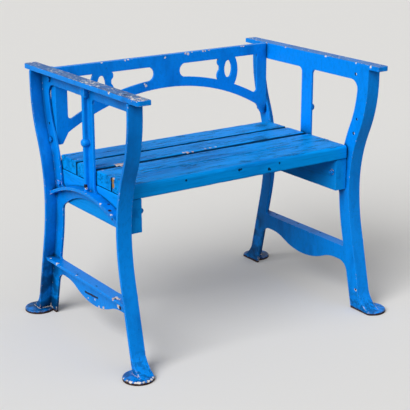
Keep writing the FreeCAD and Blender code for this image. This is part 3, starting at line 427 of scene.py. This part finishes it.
# Seat bearers
# Two upright boards of softwood lie against the webs and carry the planks.
# Their paint is smoother than the seat's, with a little grain showing.

BEARER_BLUE = (0.000, 0.215, 0.720)
BEARER_LIGHT = (0.002, 0.300, 0.900)
BARE_WOOD = (0.420, 0.230, 0.070)
WOOD_GLOSS = 0.035

ALONG_X, ALONG_Y, UPWARDS = range(3)
BOARD_EDGE_STEPS = 4
BOARD_FACE = 0.02  # a board's faces are wider than this, and its roundings narrower
END_CUTS = (0.0006, 0.0015, 0.003)  # cuts this far from both ends hold their wear
BEARER_EDGE = 0.003
BEARER_LENGTH_CUTS = 80
BEARER_WIDTH_CUTS = 12
BEARER_GRAIN_SHIFTS = {"left": 1.7, "right": 4.1}

GRAIN_STRETCH = 0.06  # grain runs this much slower along the board
# The joint values set the painted shade on the rounded edges by the plank gaps.
JOINT_FADE = 0.002
JOINT_DARK_DEPTH = 0.0012
JOINT_SLOPE = (0.30, 0.62)  # only where the rounded edge turns down
WAVE_RATE = 45  # noise patches a metre
WAVE_DETAIL = (1.0, 2.0, 3)  # fall, spacing and number of the finer waves
WAVE_SHARE = 0.35
RIDGE_RATE = 160
RIDGE_SHARE = 0.65
EDGE_WEAR_RATE = 40
END_WEAR_RATE = 60
END_WEAR_LEAST = 0.6
END_WEAR_SPREAD = 0.8
WORN_SKIN = 0.0075  # wear moves what is this near a face
TOP_SHARE = 0.4  # a worn top edge goes back more than down
END_REACH = max(END_CUTS) * 1.3


def wood_paint(name, tones, run, grain_depth, cracked, wear, spots, dents_and_gap_shade, joints):
    """Worn gloss paint over the grain of a softwood board.

    The tones are two of the brush streaks and one of the grain. Cracks are as
    dark as cracked says, and fewer rims are worn bare as the wear rises. The
    spots are bare wood at given places. The dents and gap shade are dark dents
    and painted shade in the gaps at the plank ends, and the joint shades (front,
    back, top) are bands of painted shade on the rounded edges along the gaps.
    """
    paint = PaintRecipe(name)

    def grain_of(length_share):
        return tuple(length_share if axis == run else 1.0 for axis in range(3))

    shift = paint.step("Attribute", {}, "Fac", attribute_name="board_shift")
    board_start = paint.step("CombineXYZ", {0: shift, 1: shift, 2: shift})
    moved = paint.step("VectorMath", {0: paint.place, 1: board_start}, operation="ADD")
    facing = paint.math("ABSOLUTE", paint.facing_back)

    streak = paint.cloud(0.038, detail=6.0, rough=0.65, stretch=grain_of(0.14), place=moved)
    colour = paint.mix(paint.ramp(streak, 0.32, 0.54), tones[0], tones[1])
    grain = paint.cloud(0.0070, detail=5.0, rough=0.7, stretch=grain_of(0.05), place=moved)
    colour = paint.coat(colour, tones[2], paint.ramp(grain, 0.50, 0.72), cover=0.42)

    # Short dark cracks follow the year rings, but not on the front and back.
    ring = paint.cloud(0.011, detail=4.0, rough=0.6, stretch=grain_of(0.07), shift=5.0, place=moved)
    from_ring = paint.math("ABSOLUTE", paint.math("SUBTRACT", ring, 0.5))
    short = paint.patches(0.016, 0.45, 0.54, rough=0.6, stretch=grain_of(0.22), shift=2.0,
                          place=moved)
    cracks = paint.both(paint.ramp(from_ring, 0.028, 0.010), short, cracked,
                        paint.ramp(facing, 0.85, 0.40))
    colour = paint.coat(colour, DIRT_AND_SHADE_BLUE, cracks, cover=0.80)

    # Painted shade darkens the gaps between the planks and other hollows.
    colour = paint.coat(colour, DIRT_AND_SHADE_BLUE, paint.crevice(0.010, 0.30, 0.75), cover=0.92)
    # Painted shade on the rounded edges along the plank gaps, where they turn down.
    for front, back, top in joints:
        joint_shade = paint.both(
            paint.ramp(paint.depth, front, front + JOINT_FADE),
            paint.ramp(paint.depth, back, back - JOINT_FADE),
            paint.ramp(facing, *JOINT_SLOPE),
            paint.ramp(paint.height, top, top - JOINT_DARK_DEPTH),
        )
        colour = paint.coat(colour, DIRT_AND_SHADE_BLUE, joint_shade, cover=0.95)

    # Bare wood shows on worn rims and at the given spots, primer on the tops.
    specks = paint.patches(0.010, wear, wear + CHIP_FADE, detail=5.0, rough=0.65,
                           stretch=grain_of(0.4), shift=2.0, place=moved)
    bare = paint.either(paint.both(paint.rim(0.004, 0.02, 0.12), specks),
                        paint.near(spots, ragged=2.0, size=0.006))
    primer_patches = paint.patches(0.008, 0.42, 0.52, stretch=grain_of(0.2), shift=9.0)
    primer = paint.mix(primer_patches, PRIMER_PINK, PRIMER_WHITE)
    wood = paint.mix(paint.ramp(paint.facing_up, 0.2, 0.4), BARE_WOOD, primer)
    colour = paint.mix(bare, colour, wood)
    # Dark dents, and painted shade in the gaps at the plank ends.
    dent_and_gap_mask = paint.near(dents_and_gap_shade, ragged=0.9, size=0.004)
    colour = paint.coat(colour, DIRT_AND_SHADE_BLUE, dent_and_gap_mask, cover=0.95)

    worn_rough = paint.math("MULTIPLY", paint.either(grain, cracks, bare), 0.25)
    roughness = paint.math("ADD", 0.32, worn_rough)
    paint.relief(
        (streak, 0.6, grain_depth * 2.0),
        (paint.math("SUBTRACT", 1.0, grain), 0.8, grain_depth),
        (paint.math("SUBTRACT", 1.0, paint.either(cracks, dent_and_gap_mask)), 1.0, grain_depth * 1.5),
    )
    return paint.finish(colour, roughness, WOOD_GLOSS)


def board(node, run, roundings, length_cuts, width_cuts):
    """Board of the node's size, its long edges rounded and its faces cut fine.

    Each rounding is a radius and a test of which edges it is for.
    """
    low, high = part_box(node)
    size = high - low
    place = Matrix.Translation((low + high) / 2) @ Matrix.Diagonal((*size, 1))
    sawn = bmesh.new()
    bmesh.ops.create_cube(sawn, size=1.0)
    bmesh.ops.transform(sawn, matrix=place, verts=sawn.verts)

    def reach(edge):
        """How far the edge goes along the board."""
        return abs((edge.verts[0].co - edge.verts[1].co)[run])

    for radius, is_for in roundings:
        corners = [
            edge for edge in sawn.edges
            if reach(edge) > size[run] / 2 and edge.calc_face_angle() > EDGE_ANGLE * 2
            and is_for((edge.verts[0].co + edge.verts[1].co) / 2)
        ]
        round_off(sawn, corners, radius, BOARD_EDGE_STEPS)
    wide = [
        edge for edge in sawn.edges if reach(edge) < WELD_GAP and edge.calc_length() > BOARD_FACE
    ]
    bmesh.ops.subdivide_edges(sawn, edges=wide, cuts=width_cuts, use_grid_fill=True)
    along = [edge for edge in sawn.edges if reach(edge) > size[run] / 2]
    bmesh.ops.subdivide_edges(sawn, edges=along, cuts=length_cuts, use_grid_fill=True)
    for end_gap in END_CUTS:
        cut_across(sawn, run, low[run] + end_gap, WELD_GAP)
        cut_across(sawn, run, high[run] - end_gap, WELD_GAP)
    return sawn


def weather(sawn, node, run, shift, grain_wear, edge_wear, end_wear):
    """Wear the board's grain, edges and ends, always inwards from its true size."""
    low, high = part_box(node)
    middle = (low[run] + high[run]) / 2
    for vertex in sawn.verts:
        place = vertex.co.copy()
        place[run] *= GRAIN_STRETCH
        place += Vector((shift, shift * 2, shift * 3))
        wave = 0.5 + 0.5 * noise.fractal(place * WAVE_RATE, *WAVE_DETAIL)
        ridge = 0.5 + 0.5 * noise.noise(place * RIDGE_RATE)
        inwards = Vector((0, 0, 0))
        near_faces = 0
        for axis in range(3):
            if axis == run:
                continue
            back = -TOP_SHARE if axis == UPWARDS else -1
            for face, way in ((low[axis], 1), (high[axis], back)):
                if abs(vertex.co[axis] - face) < WORN_SKIN:
                    inwards[axis] += way
                    near_faces += 1
        from_end = min(vertex.co[run] - low[run], high[run] - vertex.co[run])
        if near_faces == 0:
            if from_end < WELD_GAP:
                vertex.co[run] -= math.copysign(grain_wear * wave, vertex.co[run] - middle)
            continue
        worn_away = grain_wear * (WAVE_SHARE * wave + RIDGE_SHARE * ridge)
        if near_faces > 1:
            edge_place = Vector((vertex.co[run] * EDGE_WEAR_RATE, shift, 0))
            worn_away += edge_wear * max(0.0, noise.noise(edge_place))
        if from_end < END_REACH:
            splits = max(0.0, noise.noise(vertex.co * END_WEAR_RATE))
            fade = (1 - from_end / END_REACH) ** 2
            worn_away += end_wear * (END_WEAR_LEAST + END_WEAR_SPREAD * splits) * fade
        vertex.co += inwards.normalized() * worn_away


bearer_blue = wood_paint("blue paint on bearers", (BEARER_BLUE, BEARER_LIGHT, FRAME_DEEP_BLUE),
                         ALONG_Y, grain_depth=0.0003, cracked=0.25, wear=0.70,
                         spots=[], dents_and_gap_shade=[], joints=[])
for side in ("left", "right"):
    node = side + "_seat_bearer"
    bearer = board(node, ALONG_Y, [(BEARER_EDGE, lambda middle: True)],
                   BEARER_LENGTH_CUTS, BEARER_WIDTH_CUTS)
    weather(bearer, node, ALONG_Y, BEARER_GRAIN_SHIFTS[side],
            grain_wear=0.0004, edge_wear=0.0006, end_wear=0.0012)
    place_piece(side + "_bearer_board", bearer, bearer_blue, "blue_bearer_wood", node)

# Bearer bolts
# Two hexagon bolts hold each bearer to its web, with the heads outside and a
# washer and nut on the seat's side, all brushed over with the same blue.

BOLT_EDGE = 0.0007
WASHER_EDGE = BOLT_EDGE / 2
BOLT_EDGE_STEPS = 2
hardware_blue = iron_paint("blue paint on fasteners", [], [],
                           arm_wear=(0.0, 0.0), low_wear_and_shade=0.0, rim_wear=0.74)


def fitted_hardware(side, joint):
    """Bolts, washers and nuts of one joint with their corners eased."""
    for kind, edge in (("bolts", BOLT_EDGE), ("washers", WASHER_EDGE), ("nuts", BOLT_EDGE)):
        node = "%s_%s_%s" % (side, joint, kind)
        hardware = eased_casting(node, edge, BOLT_EDGE_STEPS)
        place_piece(node + "_painted", hardware, hardware_blue, "blue_fastener", node)


for side in ("left", "right"):
    fitted_hardware(side, "bearer")

# Back brace
# A fretted iron casting spans the two frames: a rail over two long slots, a
# spindle and a ring at each end, and an arched lower edge. Its end flanges
# are bolted to the webs.

BRACE_EDGE = 0.0014
BRACE_CHIPS = [
    (-0.210, 0.188, 0.704, 0.0030), (-0.136, 0.188, 0.703, 0.0030),
    (-0.127, 0.188, 0.705, 0.0040), (-0.114, 0.188, 0.706, 0.0030),
    (-0.070, 0.188, 0.623, 0.0040), (0.084, 0.188, 0.704, 0.0028),
    (-0.007, 0.188, 0.697, 0.0030), (-0.075, 0.188, 0.629, 0.0030),
    (0.070, 0.188, 0.700, 0.0045), (0.062, 0.188, 0.702, 0.0035),
    (0.122, 0.188, 0.704, 0.0034), (0.129, 0.188, 0.702, 0.0026),
    (0.143, 0.188, 0.704, 0.0034), (0.258, 0.188, 0.704, 0.0034),
    (0.266, 0.188, 0.704, 0.0034),
]
brace_blue = iron_paint("blue paint on brace", BRACE_CHIPS, [],
                        arm_wear=(0.10, 0.10), low_wear_and_shade=0.0, rim_wear=0.84)
fretted_back = eased_casting("back_brace", BRACE_EDGE, CAST_EDGE_STEPS)
place_piece("fretted_back", fretted_back, brace_blue, "blue_cast_brace", "back_brace")
for side in ("left", "right"):
    fitted_hardware(side, "brace")

# Seat planks
# Four softwood planks run along the bench with narrow gaps between them. The
# front one has a rounded nose. Years of use have raised the grain, dented the
# edges and worn the paint through in a few places.

SEAT_BLUE = (0.000, 0.215, 0.700)
SEAT_LIGHT = (0.000, 0.330, 0.950)
SEAT_DEEP = (0.000, 0.100, 0.360)
PLANK_LOWER_EDGE = 0.003
PLANK_LENGTH_CUTS = 170
PLANK_WIDTH_CUTS = 36
PLANK_GRAIN_SHIFT = 2.3  # from one plank's worn grain to the next's
PAINT_GRAIN_SHIFT = 0.37  # and from one plank's painted grain to the next's
SINK_START = 0.72  # the rear of a sunken plank falls away from here

# Bare spots on the third plank's front edge and on the front plank's left end.
SEAT_SPOTS = [
    (-0.274, 0.004, 0.470, 0.0080), (-0.266, 0.003, 0.470, 0.0090),
    (-0.256, 0.004, 0.470, 0.0060), (-0.066, 0.006, 0.471, 0.0048),
    (-0.056, 0.004, 0.470, 0.0056), (-0.040, 0.003, 0.470, 0.0042),
    (0.005, 0.007, 0.471, 0.0034), (0.022, 0.008, 0.471, 0.0042),
    (0.040, 0.008, 0.471, 0.0034),
    (-0.350, -0.102, 0.466, 0.0085), (-0.350, -0.105, 0.452, 0.0080),
]
SEAT_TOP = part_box("third_seat_plank")[1].z
JOINT_REACH = 0.012
JOINT_DEPTH = 0.0006
# Bands of painted shade on the rounded edges at the gaps: front, back and top.
SEAT_JOINT_SHADES = [
    (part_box(nearer)[1].y - JOINT_REACH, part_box(further)[0].y + JOINT_REACH, SEAT_TOP - JOINT_DEPTH)
    for nearer, further in (("second_seat_plank", "third_seat_plank"),
                            ("third_seat_plank", "rear_seat_plank"))
]
PLANK_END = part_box("front_seat_plank")[0].x
HALF_GAP = 0.001
SLOT_SPOT = 0.0042  # the dark slots between the plank ends are rows of spots
SLOT_SPOTS = 10
SLOT_STEP = 0.004
# Painted shade darkens the plank ends at their gaps.
END_GAP_SHADE = [
    (PLANK_END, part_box(further)[0].y - HALF_GAP, SEAT_TOP - SLOT_STEP * step, SLOT_SPOT)
    for further in ("second_seat_plank", "third_seat_plank", "rear_seat_plank")
    for step in range(SLOT_SPOTS)
]
# Dark dents on the front plank's face follow the painted shade of the end gaps.
SEAT_DENTS_AND_GAP_SHADE = END_GAP_SHADE + [
    (-0.020, -0.187, 0.459, 0.0042), (0.077, -0.187, 0.446, 0.0046),
    (0.112, -0.187, 0.457, 0.0032), (-0.185, -0.187, 0.458, 0.0034),
    (-0.014, -0.187, 0.460, 0.0030), (0.081, -0.187, 0.444, 0.0032),
]
seat_blue = wood_paint("blue paint on seat planks", (SEAT_BLUE, SEAT_LIGHT, SEAT_DEEP),
                       ALONG_X, grain_depth=0.0007, cracked=0.85, wear=0.66,
                       spots=SEAT_SPOTS, dents_and_gap_shade=SEAT_DENTS_AND_GAP_SHADE, joints=SEAT_JOINT_SHADES)
PLANK_TOPS = {  # rounding of the front and the back edge, and how far the rear is sunk
    "front": (0.008, 0.0015, 0.0),
    "second": (0.0015, 0.006, 0.0040),
    "third": (0.009, 0.005, 0.0022),
    "rear": (0.005, 0.004, 0.0),
}
for number, (place, (front_edge, back_edge, sunk)) in enumerate(PLANK_TOPS.items(), 1):
    node = place + "_seat_plank"
    low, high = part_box(node)
    centre = (low + high) / 2
    plank = board(node, ALONG_X, [
        (front_edge, lambda middle: middle.y < centre.y and middle.z > centre.z),
        (back_edge, lambda middle: middle.y > centre.y and middle.z > centre.z),
        (PLANK_LOWER_EDGE, lambda middle: middle.z < centre.z),
    ], PLANK_LENGTH_CUTS, PLANK_WIDTH_CUTS)
    for vertex in plank.verts:
        across = (vertex.co.y - low.y) / (high.y - low.y)
        to_back = max(0.0, across - SINK_START) / (1 - SINK_START)
        if vertex.co.z > centre.z:
            vertex.co.z -= sunk * to_back ** 2
    weather(plank, node, ALONG_X, PLANK_GRAIN_SHIFT * number,
            grain_wear=0.0009, edge_wear=0.0012, end_wear=0.0034)
    board_shift = plank.verts.layers.float.new("board_shift")
    for vertex in plank.verts:
        vertex[board_shift] = PAINT_GRAIN_SHIFT * number
    place_piece(place + "_plank", plank, seat_blue, "blue_seat_wood", node)

# Plank nails
# Two nails hold each plank end to its bearer. Their heads are flush with the
# seat and painted over with the fasteners' blue.

for side in ("left", "right"):
    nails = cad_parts[side + "_plank_nails"]
    nails.data.materials[0] = hardware_blue

# Studio
# Pale floor, soft light from the left and above, and the camera at the
# photograph's place.

FLOOR_REACH = 12.0
FLOOR_ROUGHNESS = 0.8
FLOOR_GLOSS = 0.1
FLOOR_SEEN = (0.85, 0.84, 0.82)
FLOOR_BOUNCE = (0.12, 0.11, 0.10)  # dark to light rays, so the shade stays deep
SEEN_RAYS = ("Is Camera Ray", "Is Glossy Ray", "Is Transmission Ray")


def looked_at(recipe):
    """One for rays that show a place to the camera, also through gloss or glass."""
    rays = recipe.node("LightPath", {})
    return recipe.either(*(rays.outputs[name] for name in SEEN_RAYS))


floor_paint = PaintRecipe("pale floor")
floor_tone = floor_paint.mix(looked_at(floor_paint), FLOOR_BOUNCE, FLOOR_SEEN)
floor_paint.finish(floor_tone, FLOOR_ROUGHNESS, FLOOR_GLOSS)
floor_shape = bmesh.new()
bmesh.ops.create_grid(floor_shape, x_segments=1, y_segments=1, size=FLOOR_REACH)
floor_mesh = bpy.data.meshes.new("floor")
floor_shape.to_mesh(floor_mesh)
floor_shape.free()
floor_mesh.materials.append(floor_paint.material)
floor = bpy.data.objects.new("floor", floor_mesh)
bpy.context.scene.collection.objects.link(floor)

SKY_SEEN = 0.76
SKY_LIGHT = (0.23, 0.60)  # strength from behind the bench and from its front
SKY_TURN = (0.3, -0.9)  # Y of the directions between which it changes
world = bpy.data.worlds.new("studio")
world.use_nodes = True
bpy.context.scene.world = world
sky = NodeRecipe(world.node_tree)
direction = sky.node("SeparateXYZ", {"Vector": sky.step("TexCoord", {}, "Generated")})
front_fill = sky.ramp(direction.outputs["Y"], *SKY_TURN, *SKY_LIGHT)
backdrop = world.node_tree.nodes["Background"]
sky.feed(backdrop.inputs["Strength"], sky.mix(looked_at(sky), front_fill, SKY_SEEN, "FLOAT"))
sky.feed(backdrop.inputs["Color"], (1, 1, 1))

KEY_DIRECTION = Vector((-0.77, -0.27, 0.58))
KEY_ENERGY = 2.8
KEY_SPREAD = math.radians(45)
key_data = bpy.data.lights.new("key light", "SUN")
key_data.energy = KEY_ENERGY
key_data.angle = KEY_SPREAD
key = bpy.data.objects.new("key light", key_data)
key.rotation_euler = KEY_DIRECTION.to_track_quat("Z", "Y").to_euler()
bpy.context.scene.collection.objects.link(key)

CAMERA_PLACE = Vector((-1.70342, -2.48153, 1.26165))
CAMERA_TURN = math.radians(-34.467)
CAMERA_RISE = math.radians(16.485)
CAMERA_LENS = 100.12
CAMERA_SENSOR = 36
CAMERA_SHIFT = -0.05
camera_data = bpy.data.cameras.new("camera")
camera_data.sensor_width = CAMERA_SENSOR
camera_data.lens = CAMERA_LENS
camera_data.shift_y = CAMERA_SHIFT
camera = bpy.data.objects.new("camera", camera_data)
camera.location = CAMERA_PLACE
backwards = Vector((
    math.sin(CAMERA_TURN) * math.cos(CAMERA_RISE),
    -math.cos(CAMERA_TURN) * math.cos(CAMERA_RISE),
    math.sin(CAMERA_RISE),
))
camera.rotation_euler = (-backwards).to_track_quat("-Z", "Y").to_euler()
bpy.context.scene.collection.objects.link(camera)
bpy.context.scene.camera = camera
bpy.context.scene.view_settings.view_transform = "Standard"
